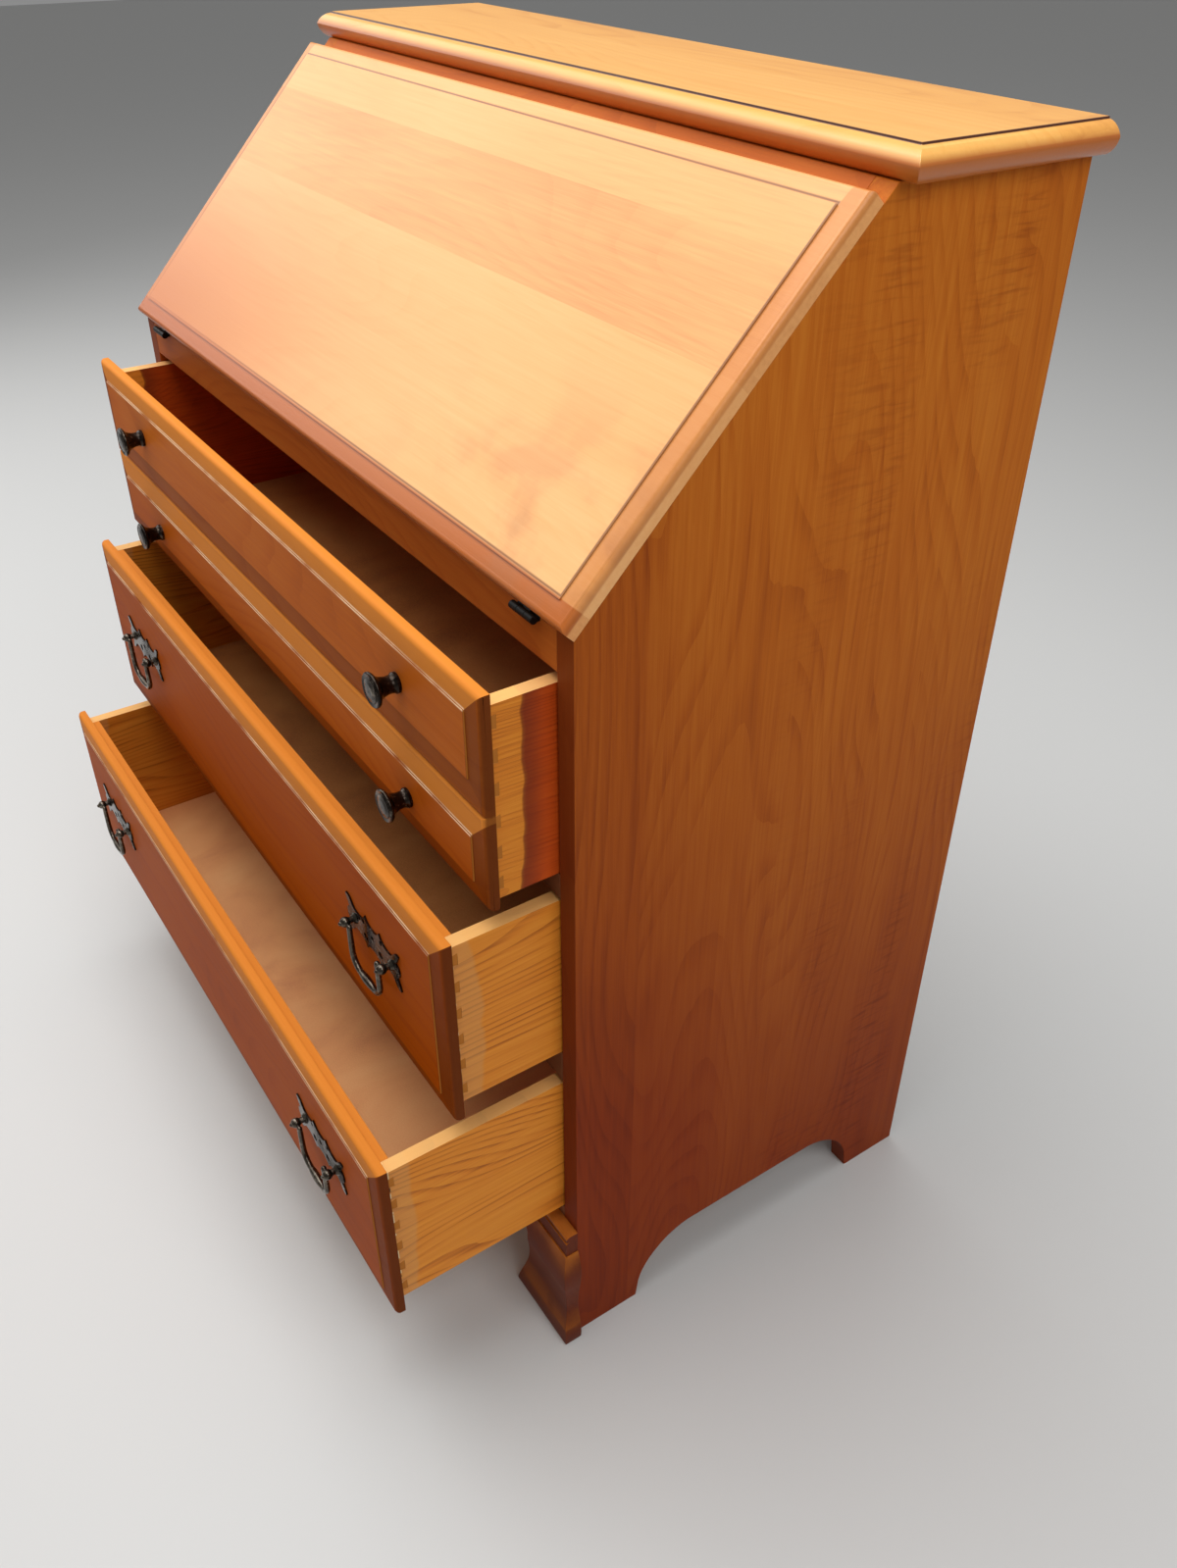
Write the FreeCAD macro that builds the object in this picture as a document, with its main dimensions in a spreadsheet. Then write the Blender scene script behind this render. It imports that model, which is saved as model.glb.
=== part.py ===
"""Slant-front secretary desk: a maple case with three drawers and a fall-front lid.

Frame: X to the right as one faces the desk, Y to the back, Z up, in millimetres. The case is built
with its front edge at Y = 0, and every piece is then moved by desk_shift so that the origin lies on
the floor, under the middle of the whole desk as it stands with its three drawers partly open.
"""
import FreeCAD
import Part
import math
import os
import re
import Sketcher

App = FreeCAD
doc = App.newDocument("SecretaryDesk")

# ---------------------------------------------------------------- driving dimensions
DIMENSIONS = {
    # case
    "case_width": 802, "case_depth": 410, "desk_height": 1016, "side_thick": 20, "top_thick": 22,
    "corner_height": 753, "slant_run": 233, "back_thick": 5, "back_inset": 2,
    "top_overhang": 18, "top_nose": 4, "nose_depth": 11, "nose_low": 11.5, "nose_under": 7.5,
    "foot_wide": 68, "cut_height": 72.5, "cut_run": 57, "cut_step": 22, "cut_sag": 12,
    # rails and the writing board
    "rail_thick": 20, "front_rail_low": 722, "writing_top": 754.2, "writing_thick": 19, "bevel_gap": 1.9,
    "upper_divider_low": 529.5, "upper_divider_high": 551.5,
    "lower_divider_low": 333, "lower_divider_high": 364.5,
    "bottom_rail_low": 132, "bottom_rail_high": 166.5,
    "top_rail_drop": 28, "top_rail_thick": 22,
    "runner_wide": 18, "runner_thick": 12, "runner_gap": 0.5, "kicker_low": 714.5,
    # base
    "base_thick": 12, "base_low": 128, "base_high": 153.5, "bead_size": 7, "base_end": 1,
    "ogee_top": 1.3, "ogee_swell": 6.2, "ogee_under": 4.4, "ogee_waist": 1, "ogee_toe": 6.2,
    "swell_height": 102, "under_height": 82, "waist_high": 56, "waist_low": 42, "toe_high": 20, "toe_low": 9,
    "foot_inner": 320.5, "foot_lean": 17.5, "foot_spur": 6, "spur_low": 61, "spur_high": 100,
    "block_size": 32, "block_height": 90,
    # mouldings on the lid and the drawer fronts
    "quirk": 1.2, "lip_drop": 7, "lip_round": 5, "band_drop": 2.1,
    # lid
    "lid_thick": 16.2, "lid_band": 16, "lid_foot_gap": 0.7, "lid_head_gap": 15.3, "lid_rest_gap": 0.3,
    # lid hinges and stays
    "hinge_out": 4.5, "hinge_height": 752, "barrel_size": 3, "hinge_pin_size": 1.5, "pin_play": 0.05,
    "leaf_thick": 1.5, "leaf_long": 19, "leaf_root": 3.9, "leaf_step": 4, "hinge_wide": 27, "hinge_place": 348,
    "arm_long": 130, "ground_long": 100, "ground_angle": 30, "lid_stud_drop": 10,
    "arm_wide": 12, "arm_thick": 1.8, "arm_gap": 1.5, "stud_head": 0.8, "stud_size": 2, "plate_thick": 2,
    # drawers
    "lip_width": 769, "box_width": 758, "front_thick": 20, "lip_thick": 11, "drawer_band": 17.5,
    "pins": 6, "pin_root": 8.5, "pin_end": 11.5, "pin_deep": 6.5,
    "wall_thick": 12, "box_height": 161, "box_long": 385, "panel_thick": 4, "panel_height": 9, "groove": 5,
    "top_low": 547.5, "top_high": 725, "top_open": 51.5, "top_box": 552,
    "valley_height": 629.5, "valley_band": 23.5, "valley_drop": 5.2,
    "middle_low": 352.5, "middle_high": 533.5, "middle_open": 91.5, "middle_box": 365,
    "bottom_low": 155, "bottom_high": 336, "bottom_open": 160, "bottom_box": 167,
    # hardware
    "pull_place": 271, "upper_knob": 679, "lower_knob": 579, "knob_long": 22,
    "middle_pull": 456, "bottom_pull": 260, "bore": 64, "plate_half": 46, "plate_high": 17,
    "backplate": 1.6, "post_long": 10, "ball_size": 4.5, "bail_drop": 38, "bail_size": 2.3, "bail_swell": 3.4,
    "bail_inset": 7.5,
    # pigeonhole gallery and its two small drawers
    "gallery_front": 216, "gallery_side_gap": 26, "gallery_high": 170, "gallery_board": 9,
    "shelf_height": 74, "small_wide": 210, "small_gap": 1, "small_wall": 6,
}

sheet = doc.addObject("Spreadsheet::Sheet", "Dims")
for row, (alias, number) in enumerate(DIMENSIONS.items(), start=1):
    sheet.set("A%d" % row, alias)
    sheet.set("B%d" % row, str(number))
    sheet.setAlias("B%d" % row, alias)
doc.recompute()

ALIAS = re.compile(r"\b(" + "|".join(sorted(DIMENSIONS, key=len, reverse=True)) + r")\b")


def bound(formula):
    """A formula in the sheet's aliases, as a FreeCAD expression."""
    return ALIAS.sub(r"Dims.\1", str(formula))


def value(formula):
    """The number that a formula in the sheet's aliases gives."""
    result = sheet.evalExpression(bound(formula))
    return float(getattr(result, "Value", result))


# The open bottom drawer's handle posts reach furthest forward, the case's back furthest back.
SHIFT = "(lip_thick + bottom_open + post_long + 1.3 * ball_size - case_depth) / 2"
# The slanted front, as a unit vector up the slant and the outward normal.
SLANT_RISE = "(desk_height - top_thick - corner_height)"
SLANT_LONG = "sqrt(slant_run ^ 2 + %s ^ 2)" % SLANT_RISE
UP_Y = "(slant_run / %s)" % SLANT_LONG
UP_Z = "(%s / %s)" % (SLANT_RISE, SLANT_LONG)
INNER_HALF = "(case_width / 2 - side_thick)"


# ---------------------------------------------------------------- helpers
def place(piece, at, shift=True):
    """Bind a piece's position; shift adds the move of the whole desk along Y."""
    for axis, formula in zip("xyz", at):
        if axis == "y" and shift:
            formula = "%s + %s" % (formula, SHIFT)
        piece.setExpression("Placement.Base." + axis, bound(formula))
    return piece


def board(label, size, at, shift=True):
    """A plain board: its length, width and height, and its low corner."""
    piece = doc.addObject("Part::Box", label)
    for side, formula in zip(("Length", "Width", "Height"), size):
        piece.setExpression(side, bound(formula))
    return place(piece, at, shift)


def rod(label, radius, length, at, axis, shift=True):
    """A round bar that starts at a point and runs along X, Y or Z."""
    piece = doc.addObject("Part::Cylinder", label)
    piece.setExpression("Radius", bound(radius))
    piece.setExpression("Height", bound(length))
    turns = {"x": App.Rotation(App.Vector(0, 1, 0), 90),
             "y": App.Rotation(App.Vector(1, 0, 0), -90),
             "z": App.Rotation()}
    piece.Placement = App.Placement(App.Vector(), turns[axis])
    return place(piece, at, shift)


def combine(kind, label, base, tool):
    """A boolean of two pieces: Cut, Common or Fuse."""
    piece = doc.addObject("Part::" + kind, label)
    piece.Base = base
    piece.Tool = tool
    return piece


def group(label, pieces):
    """Like pieces that share one node, each still a solid of its own."""
    piece = doc.addObject("Part::Compound", label)
    piece.Links = pieces
    return piece


def fused(label, pieces):
    """Several touching shapes made into one solid."""
    piece = doc.addObject("Part::MultiFuse", label)
    piece.Shapes = pieces
    return piece


def outline(body, plane, corners):
    """A closed sketch on one of the body's planes.

    Each corner is (first, second) or (first, second, sagitta); the sagitta bends the side that
    starts there, to the left when it is positive. Every corner is held by two bound distances.
    """
    sketch = body.newObject("Sketcher::SketchObject", body.Name + "Outline")
    support = [item for item in body.Origin.OriginFeatures if item.Role == plane][0]
    sketch.AttachmentSupport = (support, [""])
    sketch.MapMode = "FlatFace"
    points = [App.Vector(value(corner[0]), value(corner[1]), 0) for corner in corners]
    sides = []
    for index, corner in enumerate(corners):
        start = points[index]
        end = points[(index + 1) % len(points)]
        if len(corner) == 3:
            along = (end - start).normalize()
            left = App.Vector(-along.y, along.x, 0)
            middle = (start + end) * 0.5 + left * value(corner[2])
            sides.append(Part.Arc(start, middle, end))
        else:
            sides.append(Part.LineSegment(start, end))
    sketch.addGeometry(sides, False)

    def end_at(side, point):
        """Which end of a side, 1 or 2, lies at a point."""
        return 1 if sketch.getPoint(side, 1).distanceToPoint(point) < 1e-6 else 2

    for index, corner in enumerate(corners):
        before = (index - 1) % len(points)
        here = end_at(index, points[index])
        sketch.addConstraint(Sketcher.Constraint("Coincident", before, end_at(before, points[index]),
                                                 index, here))
    for index, corner in enumerate(corners):
        here = end_at(index, points[index])
        for kind, formula, number in (("DistanceX", corner[0], points[index].x),
                                      ("DistanceY", corner[1], points[index].y)):
            place_at = sketch.addConstraint(Sketcher.Constraint(kind, index, here, number))
            if abs(number) > 1e-9:
                sketch.setExpression("Constraints[%d]" % place_at, bound(formula))
        if len(corner) == 3:
            sketch.addConstraint(Sketcher.Constraint("Radius", index, sketch.Geometry[index].Radius))
    return sketch


def padded(label, plane, corners, length, at=("0", "0", "0"), middle=True, shift=True):
    """A PartDesign body: a closed outline padded to a length, about its plane or along its normal."""
    body = doc.addObject("PartDesign::Body", label)
    pad = body.newObject("PartDesign::Pad", label + "Pad")
    pad.Profile = outline(body, plane, corners)
    pad.setExpression("Length", bound(length))
    pad.Midplane = middle
    return place(body, at, shift)


def turned(label, corners, at, direction, shift=True):
    """A PartDesign body turned about its own Z axis, which is then laid along a direction."""
    body = doc.addObject("PartDesign::Body", label)
    turn = body.newObject("PartDesign::Revolution", label + "Turn")
    turn.Profile = outline(body, "XZ_Plane", corners)
    turn.ReferenceAxis = (turn.Profile[0], ["V_Axis"])
    turn.Angle = 360
    body.Placement = App.Placement(App.Vector(), App.Rotation(App.Vector(0, 0, 1), App.Vector(*direction)))
    return place(body, at, shift)


def set_shape(label, shape, at, shift=True):
    """A piece whose shape neither a sketch nor a primitive can give; it is placed after its shape."""
    piece = doc.addObject("Part::Feature", label)
    piece.Shape = shape
    return place(piece, at, shift)


def on_slant(along, outward):
    """The Y and Z formulas of a point up the slant from its foot and out from its plane."""
    return ("(%s) * %s - (%s) * %s" % (along, UP_Y, outward, UP_Z),
            "corner_height + (%s) * %s + (%s) * %s" % (along, UP_Z, outward, UP_Y))


# ---------------------------------------------------------------- case
def side_panel(label, low_x):
    """A side from floor to top: slanted front edge above, two feet and a shaped cut-out below."""
    rear_foot = "(case_depth - foot_wide)"
    corners = [
        ("0", "0"), ("foot_wide", "0"), ("foot_wide + 3", "cut_step", "cut_sag"),
        ("foot_wide + 3 + cut_run", "cut_height"),
        ("%s - 3 - cut_run" % rear_foot, "cut_height", "cut_sag"), ("%s - 3" % rear_foot, "cut_step"),
        (rear_foot, "0"), ("case_depth", "0"), ("case_depth", "desk_height - top_thick"),
        ("slant_run", "desk_height - top_thick"), ("0", "corner_height"),
    ]
    return padded(label, "YZ_Plane", corners, "side_thick", (low_x, "0", "0"), middle=False)


def nose(edge, inward):
    """One edge of the top board, from its underside round the nose and up the quirk."""
    low = "(desk_height - top_thick)"
    return [
        ("%s %s nose_under" % (edge, inward), low, "NOSE_LOW"), (edge, "%s + nose_low" % low, "NOSE_HIGH"),
        ("%s %s nose_depth" % (edge, inward), "desk_height - quirk"),
        ("%s %s nose_depth" % (edge, inward), "desk_height"),
    ]


def top_board():
    """The top: a quirk and a round nose along the front and both ends, plain at the back."""
    half = "(case_width / 2 + top_overhang)"
    section = bend(nose("slant_run - top_nose", "+"), "") + [
        ("case_depth", "desk_height"), ("case_depth", "desk_height - top_thick")]
    long_part = padded("top_long", "YZ_Plane", section, "%s * 2 + 20" % half, shift=False)
    ends = bend(nose("-" + half, "+"), "") + bend(reversed_edge(nose(half, "-")), "")
    cross_part = padded("top_cross", "XZ_Plane", ends, "case_depth * 4", shift=False)
    return place(combine("Common", "top_board", long_part, cross_part), ("0", "0", "0"))


def top_rail():
    """The band under the top board, its face in the plane of the slant."""
    top = "desk_height - top_thick"
    lean = "top_rail_drop * slant_run / %s" % SLANT_RISE
    corners = [
        ("slant_run", top), ("slant_run - %s" % lean, "%s - top_rail_drop" % top),
        ("slant_run - %s + top_rail_thick" % lean, "%s - top_rail_drop" % top),
        ("slant_run + top_rail_thick", top),
    ]
    return padded("top_rail", "YZ_Plane", corners, "2 * %s" % INNER_HALF)


def front_rail():
    """The rail under the lid, bevelled along the slant and mortised for the two hinge leaves."""
    corners = [
        ("0", "front_rail_low"), ("rail_thick", "front_rail_low"), ("rail_thick", "writing_top"),
        ("bevel_gap", "writing_top"), ("0", "writing_top - bevel_gap"),
    ]
    rail = padded("front_rail_blank", "YZ_Plane", corners, "2 * %s" % INNER_HALF, shift=False)
    leaves = fused("rail_mortises", [case_leaf("left", "-"), case_leaf("right", "")])
    return place(combine("Cut", "front_rail", rail, leaves), ("0", "0", "0"))


def case_leaf(side, sign):
    """A hinge leaf let into the top of the front rail, with a thicker root that carries the barrel."""
    root_low = "writing_top - leaf_root"
    shelf = "writing_top - bevel_gap"
    corners = [
        ("leaf_long", "writing_top - leaf_thick"), ("leaf_long", "writing_top"), ("bevel_gap", "writing_top"),
        ("0", shelf), ("-hinge_out", shelf), ("-hinge_out", root_low), ("leaf_step", root_low),
        ("leaf_step", "writing_top - leaf_thick"),
    ]
    return padded("case_leaf_" + side, "YZ_Plane", corners, "hinge_wide", (sign + "hinge_place", "0", "0"),
                  shift=False)


def case_rails():
    """The writing board, the dividers between the drawers, the bottom rail, runners and kickers."""
    wide = "2 * %s" % INNER_HALF
    left = "-" + INNER_HALF
    deep = "case_depth - back_inset - back_thick - rail_thick"
    board("writing_board", (wide, deep, "writing_thick"), (left, "rail_thick", "writing_top - writing_thick"))
    for label, low, high in (("upper_divider_rail", "upper_divider_low", "upper_divider_high"),
                             ("lower_divider_rail", "lower_divider_low", "lower_divider_high"),
                             ("bottom_rail", "bottom_rail_low", "bottom_rail_high")):
        board(label, (wide, "rail_thick", "%s - %s" % (high, low)), (left, "0", low))
    board("back_panel", (wide, "back_thick", "desk_height - top_thick - bottom_rail_low"),
          (left, "case_depth - back_inset - back_thick", "bottom_rail_low"))
    strips = []
    kickers = []
    for side, low_x in (("left", left), ("right", INNER_HALF + " - runner_wide")):
        for level in ("top", "middle", "bottom"):
            low_z = "%s_box - runner_gap - runner_thick" % level
            strips.append(board("runner_%s_%s" % (level, side), ("runner_wide", deep, "runner_thick"),
                                (low_x, "rail_thick", low_z)))
        kickers.append(board("kicker_" + side, ("runner_wide", deep, "writing_top - writing_thick - kicker_low"),
                             (low_x, "rail_thick", "kicker_low")))
    group("drawer_runners", strips)
    group("drawer_kickers", kickers)


def base_moulding():
    """The board across the base, with a bead along its upper edge."""
    neck = "(base_high - bead_size)"
    shoulder = "-base_thick + bead_size / 2"
    corners = [
        ("0", "base_low"), ("0", "base_high"), (shoulder, "base_high", "-bead_size / 2.1"),
        (shoulder, neck), ("-base_thick", neck + " - 1.5"), ("-base_thick", "base_low"),
    ]
    padded("base_moulding", "YZ_Plane", corners, "case_width + 2 * base_end")


def ogee(base, sign, hand):
    """The foot's face from top to toe: swelling above, hollow at the waist, flared at the toe."""
    stations = [
        ("ogee_top", "base_low", "%s1.1"), ("ogee_swell", "swell_height", "%s0.5"),
        ("ogee_under", "under_height", "-(%s0.3)"), ("ogee_waist", "waist_high", "-(%s0.3)"),
        ("ogee_waist", "waist_low", "-(%s0.3)"), ("ogee_toe - ogee_waist", "toe_high", None),
        ("ogee_toe", "toe_low", None), ("ogee_toe - 1", "0", None),
    ]
    corners = []
    for swell, height, sagitta in stations:
        corner = ("%s(%s + %s)" % (sign, base, swell), height)
        corners.append(corner if sagitta is None else corner + (sagitta % hand,))
    return corners


def mirrored(corners):
    """An outline's mirror image: its first coordinates and its bends change sign."""
    return [("-(%s)" % corner[0], corner[1]) + tuple("-(%s)" % turn for turn in corner[2:]) for corner in corners]


def bracket_foot(label, side):
    """An ogee bracket foot, mitred at the corner, with a short return beside the case."""
    section = [("0", "0"), ("0", "base_low")] + ogee("base_thick", "-", "-")
    front = padded(label + "_front", "YZ_Plane", section, "case_width * 2", shift=False)
    spur = "(foot_inner + foot_lean)"
    elevation = ogee("case_width / 2 + base_end", "", "") + [
        ("foot_inner", "0", "-1.2"), (spur, "spur_low", "-0.4"),
        (spur + " + foot_spur", "spur_high", "-4.5"), ("foot_inner", "base_low"),
    ]
    if side < 0:
        elevation = mirrored(elevation)
    shape = padded(label + "_elevation", "XZ_Plane", elevation, "case_width", shift=False)
    return place(combine("Common", label, front, shape), ("0", "0", "0"))


def glue_blocks():
    """Square blocks glued behind the bracket feet, under the bottom rail."""
    blocks = []
    for side, low_x in (("left", "-" + INNER_HALF), ("right", INNER_HALF + " - block_size")):
        blocks.append(board("block_" + side, ("block_size", "block_size", "block_height"),
                            (low_x, "0", "bottom_rail_low - block_height")))
    group("glue_blocks", blocks)


# ---------------------------------------------------------------- lid
def banded_edge(edge, inward, base, top, band):
    """One edge of a lip moulding, from its back to the field: lip, round, hollow band and quirk.

    edge is the first coordinate of the edge, inward is + or - towards the field, base is the
    second coordinate of the lip's back and top that of the field.
    """
    return [
        (edge, base), (edge, "%s - lip_drop" % top, "ROUND"),
        ("%s %s lip_round" % (edge, inward), "%s - band_drop" % top, "BAND"),
        ("%s %s %s" % (edge, inward, band), "%s - quirk" % top),
        ("%s %s %s" % (edge, inward, band), top),
    ]


def bend(corners, hand):
    """Put the named bends of a moulding into an outline, on the given hand."""
    sagittas = {"ROUND": "1.5", "BAND": "0.25", "NOSE_LOW": "1.8", "NOSE_HIGH": "1.9"}
    return [corner[:2] + (hand + sagittas[corner[2]],) if len(corner) == 3 else corner for corner in corners]


def reversed_edge(corners):
    """An edge's corners the other way round, each bend kept on the side it bends."""
    plain = [corner[:2] for corner in corners][::-1]
    bends = [corner[2] if len(corner) == 3 else None for corner in corners][::-1]
    bends = bends[1:] + [None]
    return [corner if turn is None else corner + (turn,) for corner, turn in zip(plain, bends)]


def lid_panel():
    """The fall front, a thick panel with a thumbnail moulding and quirk on all four edges."""
    half = "(case_width / 2)"
    length = "(%s - lid_foot_gap - lid_head_gap)" % SLANT_LONG
    low_edge = banded_edge("0", "+", "0", "lid_thick", "lid_band")
    high_edge = banded_edge(length, "-", "0", "lid_thick", "lid_band")
    section = bend(low_edge, "") + bend(reversed_edge(high_edge), "")
    blank = padded("lid_long", "YZ_Plane", section, "case_width * 1.2", shift=False)
    left_edge = banded_edge("-" + half, "+", "0", "lid_thick", "lid_band")
    right_edge = banded_edge(half, "-", "0", "lid_thick", "lid_band")
    ends = bend(left_edge, "") + bend(reversed_edge(right_edge), "")
    cross = padded("lid_cross", "XZ_Plane", ends, "case_width * 2", shift=False)
    panel = combine("Common", "lid_blank", blank, cross)
    mortises = []
    for side, sign in (("left", "-"), ("right", "")):
        size = ("hinge_wide", "leaf_long", "leaf_thick + 1")
        at = ("%shinge_place - hinge_wide / 2" % sign, "-lid_foot_gap - hinge_out", "-1")
        mortises.append(board("lid_mortise_" + side, size, at, shift=False))
    return lean_back(combine("Cut", "lid_panel", panel, fused("lid_mortises", mortises)))


def lean_back(piece, along="lid_foot_gap"):
    """Lay a piece made flat, with its foot at Y = 0, on the slant of the closed lid."""
    angle = math.degrees(math.atan2(value(SLANT_RISE), value("slant_run")))
    piece.Placement = App.Placement(App.Vector(), App.Rotation(App.Vector(1, 0, 0), angle))
    y_at, z_at = on_slant(along, "lid_rest_gap")
    return place(piece, ("0", y_at, z_at))


def lid_hinges():
    """Two butt hinges: leaves let into rail and lid, interlocking knuckles and a pin in each."""
    third = "hinge_wide / 3"
    play = "0.2"
    case_leaves = []
    lid_leaves = []
    pins = []
    flat = "(hinge_height - corner_height)"
    foot = "(-hinge_out * %s + %s * %s)" % (UP_Y, flat, UP_Z)
    depth = "(hinge_out * %s + %s * %s - lid_rest_gap)" % (UP_Z, flat, UP_Y)
    for side, sign in (("left", "-"), ("right", "")):
        low_x = "%shinge_place - hinge_wide / 2" % sign
        name = "hinge_" + side
        axis_at = ("-hinge_out", "hinge_height")
        bore = rod(name + "_bore", "hinge_pin_size", "hinge_wide + 2", (low_x + " - 1",) + axis_at, "x", False)
        leaf = doc.getObject("case_leaf_" + side)
        gap = board(name + "_case_gap", ("%s + 2 * %s" % (third, play), "hinge_out + barrel_size", "3 * barrel_size"),
                    ("%s + %s - %s" % (low_x, third, play), "-hinge_out - barrel_size",
                     "hinge_height - 1.5 * barrel_size"), False)
        barrel = rod(name + "_barrel", "barrel_size", "hinge_wide", (low_x,) + axis_at, "x", False)
        solid = combine("Cut", name + "_case_cut", fused(name + "_case_solid", [leaf, barrel]), gap)
        case_leaves.append(place(combine("Cut", name + "_case", solid, bore), ("0", "0", "0")))

        knuckle = rod(name + "_knuckle", "barrel_size", "%s - 2 * %s" % (third, play),
                      ("%s + %s + %s" % (low_x, third, play), foot, depth), "x", False)
        tongue = board(name + "_tongue", ("%s - 2 * %s" % (third, play), "barrel_size + 3", "leaf_thick"),
                       ("%s + %s + %s" % (low_x, third, play), foot, "0"), False)
        lid_leaf = board(name + "_lid_leaf", ("hinge_wide", "leaf_long - 7", "leaf_thick"),
                         (low_x, "lid_foot_gap - 0.2", "0"), False)
        lid_bore = rod(name + "_lid_bore", "hinge_pin_size + pin_play", "hinge_wide",
                       (low_x, foot, depth), "x", False)
        solid = fused(name + "_lid_solid", [knuckle, tongue, lid_leaf])
        lid_leaves.append(lean_back(combine("Cut", name + "_lid", solid, lid_bore), "0"))
        pins.append(rod(name + "_pin", "hinge_pin_size", "hinge_wide", (low_x,) + axis_at, "x"))
    group("hinge_leaves_case", case_leaves)
    group("hinge_leaves_lid", lid_leaves)
    group("hinge_pins", pins)


def stay_geometry():
    """Where the lid stays pivot: on the hinge axis's radius, two equal and parallel pairs of arms."""
    axis = App.Vector(0, value("-hinge_out"), value("hinge_height"))
    slant = math.atan2(value(SLANT_RISE), value("slant_run"))
    inner = value("hinge_out * %s + (hinge_height - corner_height) * %s - lid_rest_gap" % (UP_Z, UP_Y))
    lid_angle = slant - math.asin((inner + value("lid_stud_drop")) / value("arm_long"))
    ground_angle = math.radians(value("ground_angle"))
    lid_reach = App.Vector(0, math.cos(lid_angle), math.sin(lid_angle)) * value("arm_long")
    ground_reach = App.Vector(0, math.cos(ground_angle), math.sin(ground_angle)) * value("ground_long")
    return {"axis": axis, "lid_stud": axis + lid_reach, "case_stud": axis + ground_reach,
            "elbow": axis + lid_reach + ground_reach, "slant": math.degrees(slant)}


def link(start, end, low_x, thick, hole_start, hole_end=None):
    """A flat arm with round ends, bored at its start and, if it is given, at its end."""
    radius = value("arm_wide") / 2
    along = (end - start).normalize()
    across = App.Vector(1, 0, 0).cross(along) * radius
    edges = [
        Part.LineSegment(start + across, end + across).toShape(),
        Part.Arc(end + across, end + along * radius, end - across).toShape(),
        Part.LineSegment(end - across, start - across).toShape(),
        Part.Arc(start - across, start - along * radius, start + across).toShape(),
    ]
    arm = Part.Face(Part.Wire(edges)).extrude(App.Vector(thick, 0, 0))
    for centre, hole in ((start, hole_start), (end, hole_end)):
        if hole is None:
            continue
        arm = arm.cut(Part.makeCylinder(hole, thick + 2, centre - App.Vector(1, 0, 0), App.Vector(1, 0, 0)))
    arm.translate(App.Vector(low_x, 0, 0))
    return arm


def lid_stays():
    """The folding stays: a plate on each side panel, a bracket on the lid and two arms between."""
    spots = stay_geometry()
    thick, gap, size = value("arm_thick"), value("arm_gap"), value("stud_size")
    wall = value(INNER_HALF)
    plate = value("plate_thick")
    play = value("pin_play")
    across = App.Vector(1, 0, 0)
    groups = {"stay_plates_case": [], "stay_arms_case": [], "stay_arms_lid": [], "stay_brackets_lid": []}
    outer_low = wall - plate - gap - thick
    inner_low = outer_low - gap - thick
    ear_low = inner_low - gap - plate
    case_plate = Part.makeBox(plate, 34, 22, spots["case_stud"] + App.Vector(wall - plate, -17, -11))
    head = value("stud_head")
    head_low = outer_low - (gap + head) / 2
    case_stud = Part.makeCylinder(size - play, wall - plate - head_low, spots["case_stud"] + across * head_low, across)
    case_head = Part.makeCylinder(size + 1.2, head, spots["case_stud"] + across * head_low, across)
    groups["stay_plates_case"].append(case_plate.fuse([case_stud, case_head]).removeSplitter())
    arm = link(spots["case_stud"], spots["elbow"], outer_low, thick, size)
    elbow = Part.makeCylinder(size, outer_low + thick - inner_low + 0.8, spots["elbow"] + across * (inner_low - 0.8),
                              across)
    groups["stay_arms_case"].append(arm.fuse(elbow).removeSplitter())
    groups["stay_arms_lid"].append(link(spots["lid_stud"], spots["elbow"], inner_low, thick, size,
                                        size + 0.4))
    lid_stud = Part.makeCylinder(size - play, gap + thick, spots["lid_stud"] + across * (ear_low + plate), across)
    drop = value("lid_stud_drop")
    flange = Part.makeBox(16, 30, plate, App.Vector(ear_low + plate - 16, -15, drop - plate))
    ear = Part.makeBox(plate, 14, drop + 6, App.Vector(ear_low, -7, -6))
    bracket = flange.fuse(ear)
    bracket.Placement = App.Placement(spots["lid_stud"], App.Rotation(across, spots["slant"]))
    groups["stay_brackets_lid"].append(bracket.fuse(lid_stud).removeSplitter())
    mirror_plane = App.Vector(1, 0, 0)
    for label, solids in groups.items():
        solids.append(solids[0].mirror(App.Vector(0, 0, 0), mirror_plane))
        set_shape(label, Part.makeCompound(solids), ("0", "0", "0"))


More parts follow.
